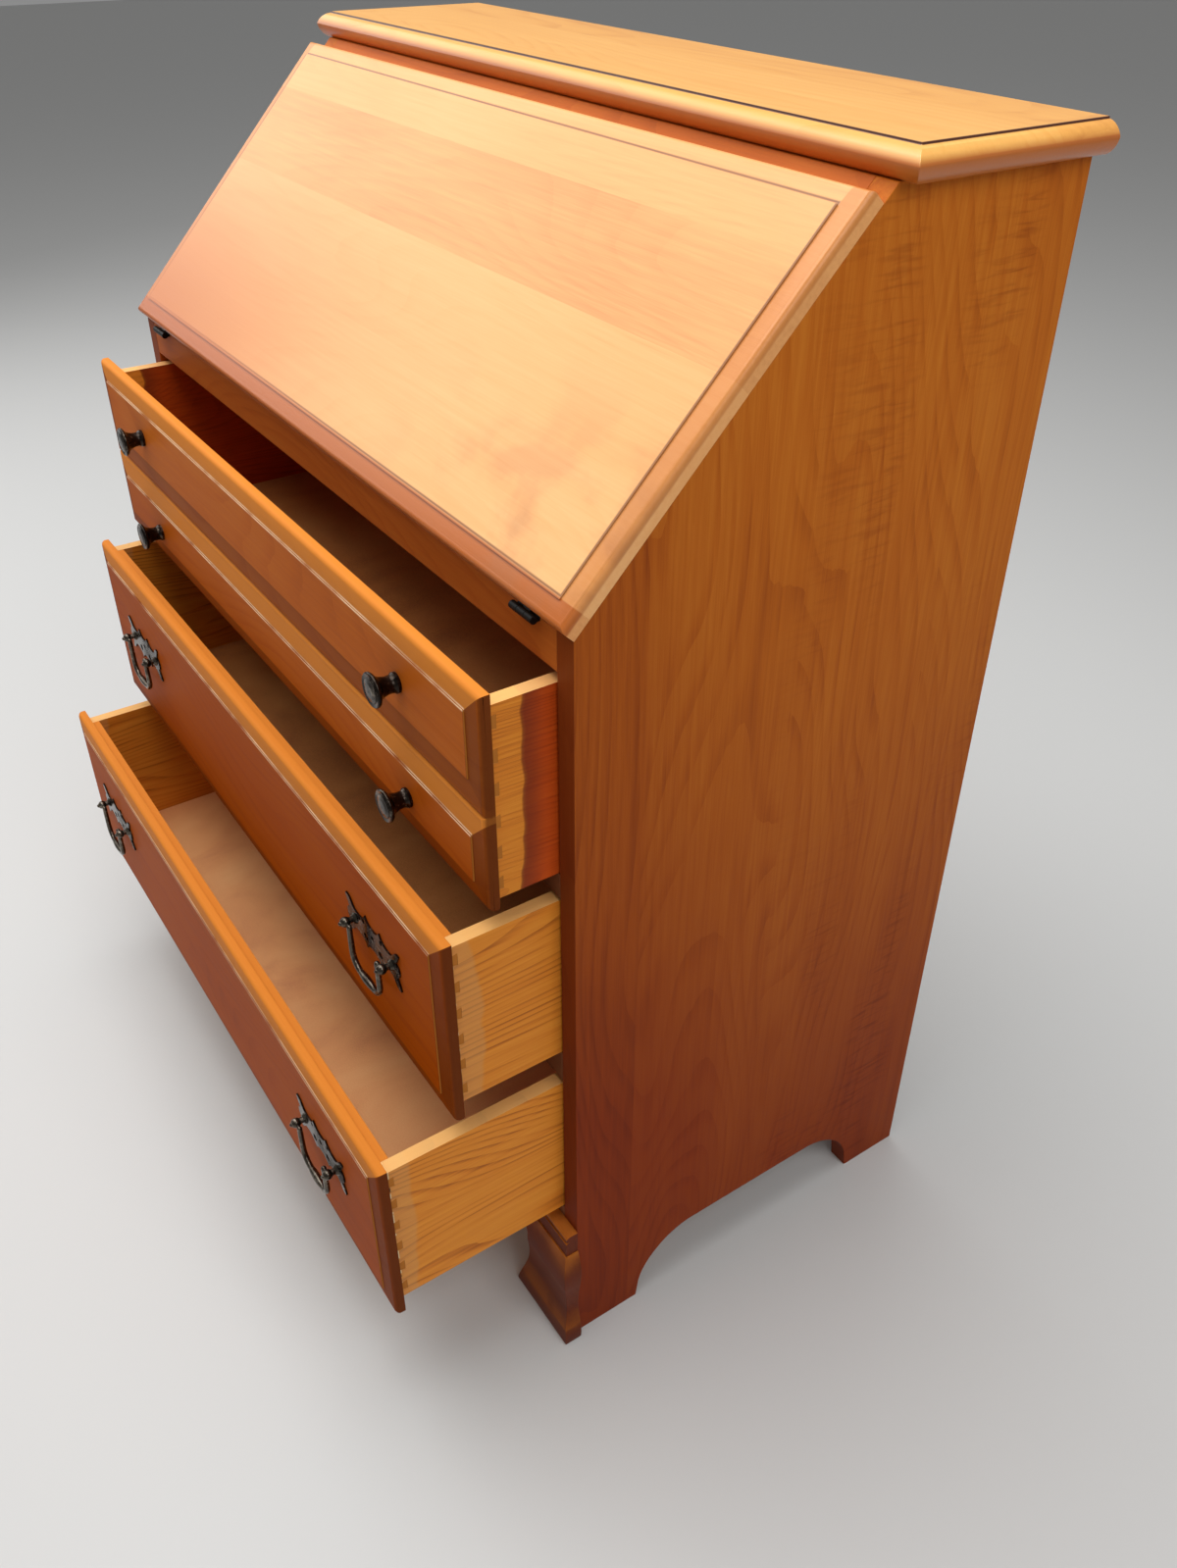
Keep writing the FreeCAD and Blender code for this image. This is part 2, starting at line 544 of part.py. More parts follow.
# ---------------------------------------------------------------- drawers
def drawer_front(name):
    """A lipped front: thumbnail bands round its field, or round two fields with a valley between."""
    low, high = "%s_low" % name, "%s_high" % name
    tall = "(%s - %s)" % (high, low)
    half = "(lip_width / 2)"
    inner_half = "(box_width / 2 - wall_thick)"
    front_side = swap(bend(drawer_edge("0", "+"), "-"))
    if name == "top":
        valley = "(valley_height - top_low)"
        below = reversed_edge(drawer_edge(valley, "-", "valley_band", "valley_drop")[1:])[:-1]
        above = drawer_edge(valley, "+", "valley_band", "valley_drop")[1:]
        front_side += swap(bend(below, "-")) + swap(bend(above, "-"))
    front_side += swap(bend(reversed_edge(drawer_edge(tall, "-")), "-"))
    block_low = "(%s_box - %s)" % (name, low)
    section = front_side + [
        ("lip_thick", "%s + box_height" % block_low), ("front_thick", "%s + box_height" % block_low),
        ("front_thick", block_low), ("lip_thick", block_low),
    ]
    long_part = padded(name + "_front_long", "YZ_Plane", section, "lip_width * 1.1", shift=False)
    left_edge = drawer_edge("-" + half, "+")
    right_edge = drawer_edge(half, "-")
    ends = bend(left_edge, "-") + bend(reversed_edge(right_edge), "-") + [
        (inner_half, "lip_thick"), (inner_half, "front_thick"), ("-" + inner_half, "front_thick"),
        ("-" + inner_half, "lip_thick"),
    ]
    cross_part = padded(name + "_front_cross", "XY_Plane", ends, "desk_height * 2", shift=False)
    blank = place(combine("Common", name + "_front_blank", long_part, cross_part),
                  ("0", "-lip_thick - %s_open" % name, low), False)
    pins = dovetail_pins(name, "left") + dovetail_pins(name, "right")
    return place(fused(name + "_drawer_front", [blank] + pins), ("0", "0", "0"))


def dovetail_pins(name, side):
    """The front's row of pins for one drawer side: wedges as deep as the side is thick, wider at the back."""
    low_x = "-box_width / 2" if side == "left" else "box_width / 2 - wall_thick"
    pins = []
    for index in range(int(value("pins"))):
        pin = doc.addObject("Part::Wedge", "%s_pin_%s_%d" % (name, side, index))
        sizes = {"Xmin": "0", "X2min": "0", "Xmax": "wall_thick", "X2max": "wall_thick", "Ymin": "0",
                 "Ymax": "pin_deep", "Zmin": "-pin_root / 2", "Zmax": "pin_root / 2",
                 "Z2min": "-pin_end / 2", "Z2max": "pin_end / 2"}
        for side_name, formula in sizes.items():
            pin.setExpression(side_name, bound(formula))
        height = "%s_box + box_height * %g / pins" % (name, index + 0.5)
        pins.append(place(pin, (low_x, "-%s_open" % name, height), False))
    return pins


def drawer_edge(edge, inward, band="drawer_band", drop="lip_drop"):
    """A drawer lip's moulded edge, with depth measured back from the field."""
    return [
        (edge, "lip_thick"), (edge, drop, "ROUND"), ("%s %s lip_round" % (edge, inward), "band_drop", "BAND"),
        ("%s %s %s" % (edge, inward, band), "quirk"), ("%s %s %s" % (edge, inward, band), "0"),
    ]


def swap(corners):
    """An outline drawn the other way up: first and second coordinates change place, and its bends."""
    swapped = []
    for corner in corners:
        if len(corner) == 3:
            swapped.append((corner[1], corner[0], "-(%s)" % corner[2]))
        else:
            swapped.append((corner[1], corner[0]))
    return swapped


def drawer_box(name):
    """The drawer's two sides with a groove each, its back, and the thin bottom in the grooves."""
    front_y = "-%s_open" % name
    low = "%s_box" % name
    panel_low = "%s + panel_height" % low
    half = "box_width / 2"
    for side, low_x, groove_x in (("left", "-%s" % half, "-%s + wall_thick - groove" % half),
                                  ("right", "%s - wall_thick" % half, "%s - wall_thick" % half)):
        label = "%s_drawer_side_%s" % (name, side)
        wall = board(label + "_blank", ("wall_thick", "box_long", "box_height"), (low_x, front_y, low), False)
        slot = board(label + "_slot", ("groove", "box_long + 2", "panel_thick"),
                     (groove_x, "%s - 1" % front_y, panel_low), False)
        sockets = fused(label + "_sockets", [slot] + dovetail_pins(name, side))
        place(combine("Cut", label, wall, sockets), ("0", "0", "0"))
    inner = "box_width - 2 * wall_thick"
    board(name + "_drawer_back", (inner, "wall_thick", "box_height - panel_height - panel_thick - 12"),
          ("-(%s) / 2" % inner, "%s + box_long - wall_thick" % front_y, "%s + panel_thick" % panel_low))
    board(name + "_drawer_bottom", ("%s + 2 * groove" % inner, "box_long - (front_thick - lip_thick)", "panel_thick"),
          ("-(%s) / 2 - groove" % inner, "%s + front_thick - lip_thick" % front_y, panel_low))


def knobs():
    """Four turned knobs: a round base, a hollow neck and a flared head with a ring on its face."""
    profile = [
        ("0", "0"), ("8", "0"), ("8", "2.3", "0.4"), ("6.6", "knob_long * 0.26", "0.3"),
        ("7.3", "knob_long * 0.5", "1"), ("12.4", "knob_long * 0.78"), ("13.4", "knob_long * 0.84", "-0.5"),
        ("12.4", "knob_long * 0.94"), ("9.8", "knob_long * 0.91"), ("9.2", "knob_long * 0.94"),
        ("5.5", "knob_long * 0.985"), ("0", "knob_long"),
    ]
    pieces = []
    for row in ("upper", "lower"):
        for side, sign in (("left", "-"), ("right", "")):
            at = ("%spull_place" % sign, "-lip_thick - top_open", "%s_knob" % row)
            pieces.append(turned("knob_%s_%s" % (row, side), profile, at, (0, -1, 0)))
    group("knobs", pieces)


def knob_screws():
    """Each knob's screw, from inside the drawer through the front."""
    pieces = []
    for row in ("upper", "lower"):
        for side, sign in (("left", "-"), ("right", "")):
            head_y = "-lip_thick - top_open + front_thick"
            pieces.append(rod("screw_%s_%s" % (row, side), "4.5", "1.8",
                              ("%spull_place" % sign, head_y, "%s_knob" % row), "y"))
    group("knob_screws", pieces)


def backplate_shape():
    """A pierced plate with four leaf points, lobed upper and lower edges and two bored posts' seats.

    The outline is one quarter's curve, from the middle of the top to the middle of the right end,
    mirrored twice.
    """
    half, high, thick = value("plate_half"), value("plate_high"), value("backplate")
    quarter = [
        [(0, 0.62 * high), (0.10 * half, 0.64 * high), (0.27 * half, 1.0 * high)],
        [(0.27 * half, 1.0 * high), (0.36 * half, 0.66 * high), (0.55 * half, 0.52 * high),
         (0.72 * half, 0.62 * high), (0.82 * half, 0.92 * high), (half, 1.06 * high)],
        [(half, 1.06 * high), (0.94 * half, 0.72 * high), (0.86 * half, 0.40 * high)],
        [(0.86 * half, 0.40 * high), (0.95 * half, 0.28 * high), (0.98 * half, 0)],
    ]
    edges = []
    for turn_x, turn_z, backwards in ((1, 1, False), (1, -1, True), (-1, -1, False), (-1, 1, True)):
        runs = [[App.Vector(x * turn_x, 0, z * turn_z) for x, z in run] for run in quarter]
        if backwards:
            runs = [run[::-1] for run in runs[::-1]]
        for run in runs:
            curve = Part.BSplineCurve()
            curve.interpolate(run)
            edges.append(curve.toShape())
    plate = Part.Face(Part.Wire(edges)).extrude(App.Vector(0, -thick, 0))
    forward = App.Vector(0, -1, 0)
    for side in (-1, 1):
        eye = Part.makeCylinder(0.13 * high, thick + 2, App.Vector(side * 0.33 * half, 1, 0.55 * high), forward)
        slit = Part.makeCylinder(0.2 * high, thick + 2, App.Vector(side * 0.28 * half, 1, -0.3 * high), forward)
        plate = plate.cut([eye, slit])
    return plate.cut(Part.makeCylinder(0.16 * high, thick + 2, App.Vector(0, 1, 0.12 * high), forward))


def post_shape():
    """A post: a turned collar on the plate, a neck and a ball bored for the bail's end."""
    plate, reach, ball = value("backplate"), value("post_long"), value("ball_size")
    start = App.Vector(0, -plate, 0)
    forward = App.Vector(0, -1, 0)
    collar = Part.makeCone(5.2, 3.6, 2.2, start, forward)
    neck = Part.makeCylinder(2.7, reach - plate, start, forward)
    head = Part.makeSphere(ball, App.Vector(0, -reach, 0))
    tip = Part.makeSphere(ball * 0.45, App.Vector(0, -reach - ball * 0.85, 0))
    post = collar.fuse([neck, head, tip]).removeSplitter()
    hole = Part.makeCylinder(1.3 + value("pin_play"), 4 * ball, App.Vector(-2 * ball, -reach, 0), App.Vector(1, 0, 0))
    return post.cut(hole)


def bail_shape():
    """A drop handle: two end pins, two arms with round corners and a grip that swells at its middle."""
    half, drop = value("bore") / 2, value("bail_drop")
    arm_x, radius, swell = half - value("bail_inset"), value("bail_size"), value("bail_swell")
    corner = 13
    solids = []
    for side in (-1, 1):
        pin = Part.makeCylinder(1.3, value("bail_inset") + 3, App.Vector(side * arm_x, 0, 0), App.Vector(side, 0, 0))
        shoulder = Part.makeSphere(radius, App.Vector(side * arm_x, 0, 0))
        arm = Part.makeCone(radius, radius * 1.1, drop - corner, App.Vector(side * arm_x, 0, 0), App.Vector(0, 0, -1))
        centre = App.Vector(side * (arm_x - corner), 0, corner - drop)
        ring = Part.makeTorus(corner, radius * 1.1, centre, App.Vector(0, 1, 0))
        low_x = side * (arm_x - corner) if side > 0 else -arm_x - 2 * radius
        window = Part.makeBox(corner + 2 * radius, 4 * radius, corner + 2 * radius,
                              App.Vector(low_x, -2 * radius, -drop - 2 * radius))
        solids += [pin, shoulder, arm, ring.common(window)]
    reach = arm_x - corner
    section = [App.Vector(-reach, 0, 0), App.Vector(-reach, 0, radius * 1.1)]
    curve = Part.Arc(App.Vector(-reach, 0, radius * 1.1), App.Vector(0, 0, swell), App.Vector(reach, 0, radius * 1.1))
    edges = [Part.LineSegment(*section).toShape(), curve.toShape(),
             Part.LineSegment(App.Vector(reach, 0, radius * 1.1), App.Vector(reach, 0, 0)).toShape(),
             Part.LineSegment(App.Vector(reach, 0, 0), App.Vector(-reach, 0, 0)).toShape()]
    grip = Part.Face(Part.Wire(edges)).revolve(App.Vector(), App.Vector(1, 0, 0), 360)
    grip.translate(App.Vector(0, 0, -drop))
    return solids[0].fuse(solids[1:] + [grip]).removeSplitter()


def pulls(name):
    """The two drop handles of a drawer: back plates, four posts, and a bail that swings in each pair."""
    face = "-lip_thick - %s_open" % name
    height = "%s_pull" % name
    plates = []
    posts = []
    for side, sign in (("left", "-"), ("right", "")):
        centre = "%spull_place" % sign
        plates.append(set_shape("%s_plate_%s" % (name, side), backplate_shape(), (centre, face, height)))
        for end in ("-", "+"):
            posts.append(set_shape("%s_post_%s_%s" % (name, side, "in" if end == "-" else "out"), post_shape(),
                                   ("%s %s bore / 2" % (centre, end), face, height)))
        set_shape("%s_drawer_bail_%s" % (name, side), bail_shape(), (centre, "%s - post_long" % face, height))
    group("%s_drawer_backplates" % name, plates)
    group("%s_drawer_posts" % name, posts)


# ---------------------------------------------------------------- pigeonholes
def gallery():
    """The pigeonhole gallery on the writing board: two ends, shelf, top, dividers, small drawers."""
    outer = "(%s - gallery_side_gap)" % INNER_HALF
    deep = "(case_depth - back_inset - back_thick - gallery_front)"
    front, floor = "gallery_front", "writing_top"
    inner = "(%s - gallery_board)" % outer
    ends = [board("gallery_end_left", ("gallery_board", deep, "gallery_high"), ("-" + outer, front, floor)),
            board("gallery_end_right", ("gallery_board", deep, "gallery_high"), (inner, front, floor))]
    group("gallery_ends", ends)
    board("gallery_shelf", ("2 * %s" % inner, deep, "gallery_board"), ("-" + inner, front, floor + " + shelf_height"))
    board("gallery_top", ("2 * %s" % inner, deep, "gallery_board"),
          ("-" + inner, front, floor + " + gallery_high - gallery_board"))
    upper = "(gallery_high - 2 * gallery_board - shelf_height)"
    dividers = []
    for index in range(1, 6):
        low_x = "-%s + %d * (2 * %s) / 6 - gallery_board / 2" % (inner, index, inner)
        dividers.append(board("divider_%d" % index, ("gallery_board", deep, upper),
                              (low_x, front, floor + " + shelf_height + gallery_board")))
    for side, low_x in (("left", "-%s + small_wide" % inner), ("right", "%s - small_wide - gallery_board" % inner)):
        dividers.append(board("divider_" + side, ("gallery_board", deep, "shelf_height"), (low_x, front, floor)))
    group("gallery_dividers", dividers)
    for side, low_x in (("left", "-%s" % inner), ("right", "%s - small_wide" % inner)):
        small_drawer("small_drawer_" + side, low_x, front, floor, deep)


def small_drawer(label, low_x, front, floor, deep):
    """A small drawer: a front with a knob, and a tray of thin walls behind it."""
    wide = "(small_wide - 2 * small_gap)"
    tall = "(shelf_height - 2 * small_gap)"
    at = ("%s + small_gap" % low_x, front, "%s + small_gap" % floor)
    board(label + "_front", (wide, "gallery_board", tall), at)
    long_part = "(%s - gallery_board - 3)" % deep
    block = board(label + "_block", (wide, long_part, "%s - 6" % tall),
                  (at[0], "%s + gallery_board" % front, at[2]), False)
    room = board(label + "_room", ("%s - 2 * small_wall" % wide, "%s - small_wall" % long_part, tall),
                 ("%s + small_wall" % at[0], "%s + gallery_board" % front, "%s + 4" % at[2]), False)
    place(combine("Cut", label + "_tray", block, room), ("0", "0", "0"))
    knob = [("0", "0"), ("4.5", "0"), ("3.4", "4", "-1"), ("7", "10", "-0.8"), ("4", "14"), ("0", "14.6")]
    turned(label + "_knob", knob, ("%s + small_wide / 2" % low_x, front, "%s + shelf_height / 2" % floor), (0, -1, 0))


# ---------------------------------------------------------------- assembly
side_panel("side_panel_left", "-case_width / 2")
side_panel("side_panel_right", INNER_HALF)
top_board()
top_rail()
front_rail()
case_rails()
base_moulding()
bracket_foot("bracket_foot_left", -1)
bracket_foot("bracket_foot_right", 1)
glue_blocks()
lid_panel()
lid_hinges()
lid_stays()
for drawer in ("top", "middle", "bottom"):
    drawer_front(drawer)
    drawer_box(drawer)
knobs()
knob_screws()
for drawer in ("middle", "bottom"):
    pulls(drawer)
gallery()
doc.recompute()

NODES = [
    "side_panel_left", "side_panel_right", "top_board", "top_rail", "front_rail", "writing_board",
    "upper_divider_rail", "lower_divider_rail", "bottom_rail", "back_panel", "drawer_runners",
    "drawer_kickers", "base_moulding", "bracket_foot_left", "bracket_foot_right", "glue_blocks",
    "lid_panel", "hinge_leaves_case", "hinge_leaves_lid", "hinge_pins", "stay_plates_case",
    "stay_arms_case", "stay_arms_lid", "stay_brackets_lid",
]
for drawer in ("top", "middle", "bottom"):
    NODES += ["%s_drawer_%s" % (drawer, piece) for piece in ("front", "side_left", "side_right", "back", "bottom")]
NODES += ["knobs", "knob_screws"]
for drawer in ("middle", "bottom"):
    NODES += ["%s_drawer_%s" % (drawer, piece) for piece in ("backplates", "posts", "bail_left", "bail_right")]
NODES += ["gallery_ends", "gallery_shelf", "gallery_top", "gallery_dividers"]
for side in ("left", "right"):
    NODES += ["small_drawer_%s_%s" % (side, piece) for piece in ("front", "tray", "knob")]

failed = [item.Name for item in doc.Objects if "Invalid" in item.State or "Error" in item.State]
if failed:
    raise RuntimeError("objects that did not build: %s" % failed)
os.makedirs("parts", exist_ok=True)
for node in NODES:
    piece = doc.getObjectsByLabel(node)[0]
    if piece.Shape.isNull() or not piece.Shape.isValid() or piece.Shape.Volume <= 0:
        raise RuntimeError("bad shape: " + node)
    piece.Shape.exportStep("parts/%s.step" % node)
print("%d nodes" % len(NODES))
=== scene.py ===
"""Looks for the slant-front secretary desk: wood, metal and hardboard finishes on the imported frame."""
import math

import bpy
from mathutils import Matrix, Vector


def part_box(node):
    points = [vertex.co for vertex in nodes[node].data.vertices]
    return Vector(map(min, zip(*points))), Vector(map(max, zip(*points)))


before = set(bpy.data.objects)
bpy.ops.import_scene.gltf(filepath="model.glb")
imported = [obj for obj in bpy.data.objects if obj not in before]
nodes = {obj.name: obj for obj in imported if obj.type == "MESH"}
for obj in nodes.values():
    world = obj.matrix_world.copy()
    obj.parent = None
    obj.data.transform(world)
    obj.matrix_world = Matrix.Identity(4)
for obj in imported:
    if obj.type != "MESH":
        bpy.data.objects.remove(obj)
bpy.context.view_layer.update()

DRAWERS = ("top", "middle", "bottom")
SLANT = math.atan2(0.241, 0.233)        # lean of the lid, from the case's corner to the top rail
BAND = 0.0175                           # width of the moulded band round a drawer's field
LID_BAND = 0.016                        # width of the moulded band round the lid's field
VALLEY_HEIGHT = 0.6295                  # height of the valley between the top front's two fields
VALLEY_BAND = 0.0235                    # width of the band on each side of the valley
MITRE = 0.0003                          # softness of the bands' mitred corners
PIN_FACE = 0.380                        # half the width over a front's dovetail pins
TOP_QUIRK = 0.0112                      # distance of the top's quirk from its edges
TOP_LINE = (0.0013, 0.0003)             # distances from that quirk with no and with full darkening


# ---------------------------------------------------------------- node graphs
class Graph:
    """A material's node tree, with short ways to add nodes; numbers and sockets are both accepted."""

    def __init__(self, name):
        self.material = bpy.data.materials.new(name)
        self.material.use_nodes = True
        self.tree = self.material.node_tree
        self.tree.nodes.clear()
        self.shader = self.tree.nodes.new("ShaderNodeBsdfPrincipled")
        output = self.tree.nodes.new("ShaderNodeOutputMaterial")
        self.tree.links.new(self.shader.outputs[0], output.inputs[0])

    def put(self, socket, value):
        """Link a socket, or set its number or colour."""
        if isinstance(value, bpy.types.NodeSocket):
            self.tree.links.new(value, socket)
        elif isinstance(value, (tuple, list)) and len(socket.default_value) == 4 and len(value) == 3:
            socket.default_value = (*value, 1.0)
        else:
            socket.default_value = value

    def node(self, kind, inputs=None, **settings):
        made = self.tree.nodes.new("ShaderNode" + kind)
        for key, value in settings.items():
            setattr(made, key, value)
        for key, value in (inputs or {}).items():
            self.put(made.inputs[key], value)
        return made

    def math(self, operation, first, second=0.0):
        return self.node("Math", {0: first, 1: second}, operation=operation).outputs[0]

    def add(self, *terms):
        total = terms[0]
        for term in terms[1:]:
            total = self.math("ADD", total, term)
        return total

    def times(self, *terms):
        total = terms[0]
        for term in terms[1:]:
            total = self.math("MULTIPLY", total, term)
        return total

    def less(self, first, second):
        return self.math("SUBTRACT", first, second)

    def most(self, first, second):
        return self.math("MAXIMUM", first, second)

    def size(self, value):
        return self.math("ABSOLUTE", value)

    def swing(self, value, amount):
        """A 0 to 1 value made to swing about 0 by the amount."""
        return self.times(self.less(value, 0.5), amount)

    def fade(self, value, low, high):
        """0 below low, 1 above high, and smooth between; low may be the larger."""
        return self.node("MapRange", {0: value, 1: low, 2: high, 3: 0.0, 4: 1.0},
                         interpolation_type="SMOOTHSTEP").outputs[0]

    def mix(self, factor, first, second, blend="MIX"):
        made = self.node("Mix", data_type="RGBA", blend_type=blend, clamp_factor=True)
        self.put(made.inputs[0], factor)
        self.put(made.inputs[6], first)
        self.put(made.inputs[7], second)
        return made.outputs[2]

    def ramp(self, factor, stops):
        made = self.node("ValToRGB", {0: factor})
        elements = made.color_ramp.elements
        while len(elements) < len(stops):
            elements.new(0.5)
        for element, (place, colour) in zip(elements, stops):
            element.position = place
            element.color = (*colour, 1.0)
        return made.outputs[0]

    def noise(self, vector, detail=2.0, roughness=0.5, distortion=0.0):
        return self.node("TexNoise", {"Vector": vector, "Scale": 1.0, "Detail": detail,
                                      "Roughness": roughness, "Distortion": distortion}).outputs[0]

    def vector(self, *parts):
        return self.node("CombineXYZ", dict(enumerate(parts))).outputs[0]

    def stretched(self, parts, factors):
        """A vector whose parts are multiplied by the factors."""
        return self.vector(*[self.times(part, factor) for part, factor in zip(parts, factors)])

    def place(self, lean=0.0):
        """The point's x, y, z in the desk's frame; lean turns them to follow the slant."""
        point = self.node("TexCoord").outputs["Object"]
        if lean:
            point = self.node("Mapping", {"Vector": point, "Rotation": (-lean, 0.0, 0.0)}).outputs[0]
        return self.node("SeparateXYZ", {0: point}).outputs[:]

    def facing(self):
        """The surface's own normal, as x, y, z."""
        return self.node("SeparateXYZ", {0: self.node("NewGeometry").outputs["Normal"]}).outputs[:]

    def bump(self, height, depth, strength=1.0):
        made = self.node("Bump", {"Height": height, "Distance": depth, "Strength": strength})
        self.put(self.shader.inputs["Normal"], made.outputs[0])


def srgb(red, green, blue):
    """A display colour, 0 to 255, as linear light."""
    def linear(level):
        level /= 255
        return level / 12.92 if level <= 0.04045 else ((level + 0.055) / 1.055) ** 2.4
    return linear(red), linear(green), linear(blue)


# ---------------------------------------------------------------- wood
# Each set of tones runs from dark through middle to light.
MAPLE = (srgb(128, 56, 20), srgb(178, 92, 32), srgb(206, 124, 50))
# dark tones of painted shadow, for the base in the shade of the drawers
SHADED_BASE_MAPLE = (srgb(64, 24, 10), srgb(98, 38, 14), srgb(126, 56, 22))
SIDE_MAPLE = (srgb(140, 60, 14), srgb(190, 102, 26), srgb(216, 134, 44))
# the lid's tones: its own colour, made paler with painted sheen
LID_MAPLE_AND_SHEEN = (srgb(192, 114, 56), srgb(236, 168, 102), srgb(248, 196, 134))
TOP_MAPLE = (srgb(190, 116, 44), srgb(230, 164, 78), srgb(244, 190, 106))
FRONT_MAPLE = (srgb(140, 58, 12), srgb(186, 94, 24), srgb(212, 126, 46))
OAK = (srgb(158, 78, 20), srgb(220, 130, 36), srgb(236, 156, 54))
INNER_WOOD = (srgb(70, 36, 18), srgb(112, 62, 32), srgb(140, 84, 46))
# darker tones of painted shade, for the bottoms of the top and middle drawers
SHADED_HARDBOARD = (srgb(166, 96, 48), srgb(208, 132, 66), srgb(222, 150, 84))
PALE_HARDBOARD = (srgb(206, 128, 78), srgb(240, 168, 106), srgb(250, 190, 126))


def wood_tone(g, along, tones, board=0.11, seed=0.0, rings=0.14, fibre=0.22, blotch=0.4, boards=0.15,
              lean=0.0, ring_size=1.0):
    """Stained wood: growth rings, fibres, blotches and a tone of its own for each glued-up board.

    along names the axis of the grain. The result is the colour, the fibre pattern and x, y, z.
    """
    x, y, z = g.place(lean)
    grain, across, through = {"X": (x, y, z), "Y": (y, z, x), "Z": (z, y, x)}[along]
    index = g.math("FLOOR", g.add(g.times(across, 1 / board), seed))
    own = g.node("TexWhiteNoise", {"W": g.add(index, seed)}, noise_dimensions="1D").outputs[0]
    shifted = g.add(grain, g.times(own, 2.7))
    parts = (across, shifted, through)
    bend = g.noise(g.stretched(parts, (7.0, 1.5, 7.0)), detail=1.0)
    ragged = g.noise(g.stretched(parts, (60.0, 6.0, 60.0)), detail=3.0)
    count = g.add(g.times(across, 20.0 / ring_size), g.times(bend, 7.0 / ring_size), g.times(ragged, 0.12))
    wave = g.node("TexWave", {"Vector": g.vector(count, 0.0, 0.0), "Scale": 1.0, "Distortion": 0.0},
                  wave_type="BANDS", bands_direction="X", wave_profile="SAW").outputs[1]
    late = g.times(g.fade(wave, 0.45, 1.0), g.fade(ragged, 0.2, 0.7))
    spread = g.noise(g.stretched(parts, (45.0 / ring_size, 1.6, 45.0)), detail=4.0, roughness=0.6)
    wave = g.add(g.times(spread, 0.9), g.times(late, -1.0), 0.3)
    coarse = g.noise(g.stretched(parts, (330.0, 8.0, 330.0)), detail=3.0)
    fine = g.noise(g.stretched(parts, (1500.0, 26.0, 1500.0)), detail=2.0)
    cloud = g.noise(g.stretched(parts, (9.0, 2.4, 9.0)), detail=3.0, distortion=0.6)
    fibres = g.add(g.times(coarse, 0.6), g.times(fine, 0.4))
    tone = g.add(0.5, g.swing(wave, rings), g.swing(fibres, fibre * 2), g.swing(cloud, blotch),
                 g.swing(own, boards))
    dark, middle, light = tones
    return g.ramp(tone, [(0.0, dark), (0.5, middle), (1.0, light)]), fibres, (x, y, z)


def varnish(g, colour, fibres, roughness=0.34, coat=0.25, depth=0.00012, gloss=0.45):
    """A satin varnish over the wood, dulled a little where the fibres are open."""
    g.put(g.shader.inputs["Base Color"], colour)
    g.put(g.shader.inputs["Roughness"], g.add(roughness, g.swing(fibres, 0.16)))
    g.put(g.shader.inputs["Coat Weight"], coat)
    g.put(g.shader.inputs["Coat Roughness"], 0.22)
    g.put(g.shader.inputs["Specular IOR Level"], gloss)
    g.bump(fibres, depth)
    return g.material


def frame_line(g, across, up, centre, half_wide, half_high, low, high):
    """1 on the outline of a rectangle, fading out between the two distances from it."""
    side = g.less(g.size(across), half_wide)
    ends = g.less(g.size(g.less(up, centre)), half_high)
    return g.fade(g.size(g.most(side, ends)), high, low)


def plain_maple(name, along, seed, tones=MAPLE):
    """Maple with no marks of its own."""
    g = Graph(name)
    colour, fibres, _ = wood_tone(g, along, tones, seed=seed)
    return varnish(g, colour, fibres, roughness=0.5, coat=0.0, gloss=0.08)


def side_maple():
    """The case's sides: upright grain, curly figure at the back, redder towards the floor and the front.

    The redder, darker tone low down and at the front is painted shade, as is the darker tone of the edges.
    """
    g = Graph("maple_side")
    colour, fibres, (x, y, z) = wood_tone(g, "Z", SIDE_MAPLE, board=0.135, seed=3.4, rings=0.2, fibre=0.36,
                                          blotch=0.35, boards=0.2)
    parts = (y, z, x)
    curl = g.noise(g.stretched(parts, (26.0, 210.0, 10.0)), detail=2.0, distortion=0.5)
    patch = g.noise(g.stretched(parts, (14.0, 3.5, 1.0)), detail=1.0)
    reach = g.times(g.fade(y, 0.03, 0.2), g.fade(patch, 0.44, 0.66))
    dips = g.times(reach, g.fade(curl, 0.46, 0.72))
    curled = g.mix(g.times(dips, 0.55), colour, srgb(140, 60, 16))
    # painted shade: redder and darker towards the floor and the front
    low = g.add(g.fade(z, 0.95, 0.0), g.times(g.fade(y, 0.1, -0.12), 0.3), g.swing(patch, 0.25))
    redder = g.mix(1.0, curled, srgb(184, 136, 150), "MULTIPLY")
    shaded_low = g.mix(g.times(low, 0.95), curled, redder)
    # painted shade on the edges turned to the front and back
    edge = g.fade(g.size(g.facing()[1]), 0.6, 0.95)
    edge_shaded = g.mix(g.times(edge, 0.65), shaded_low, srgb(112, 46, 20))
    return varnish(g, edge_shaded, fibres, roughness=0.5, coat=0.0, gloss=0.08)


def shaded_worn_base():
    """The base moulding and front feet: darkened all over with painted shadow.

    Where the lower curve faces up and is rubbed it turns golden, a painted light in patches of wear.
    """
    g = Graph("maple_base")
    colour, fibres, parts = wood_tone(g, "X", SHADED_BASE_MAPLE, seed=2.9)
    rub = g.noise(g.stretched(parts, (30.0, 30.0, 30.0)), detail=3.0)
    # painted light on faces turned up, in rubbed patches of wear
    upward = g.times(g.fade(g.facing()[2], 0.02, 0.45), g.fade(rub, 0.2, 0.6))
    rubbed = g.mix(g.times(upward, 0.75), colour, srgb(188, 110, 40))
    return varnish(g, rubbed, fibres, roughness=0.45, coat=0.0, gloss=0.1)


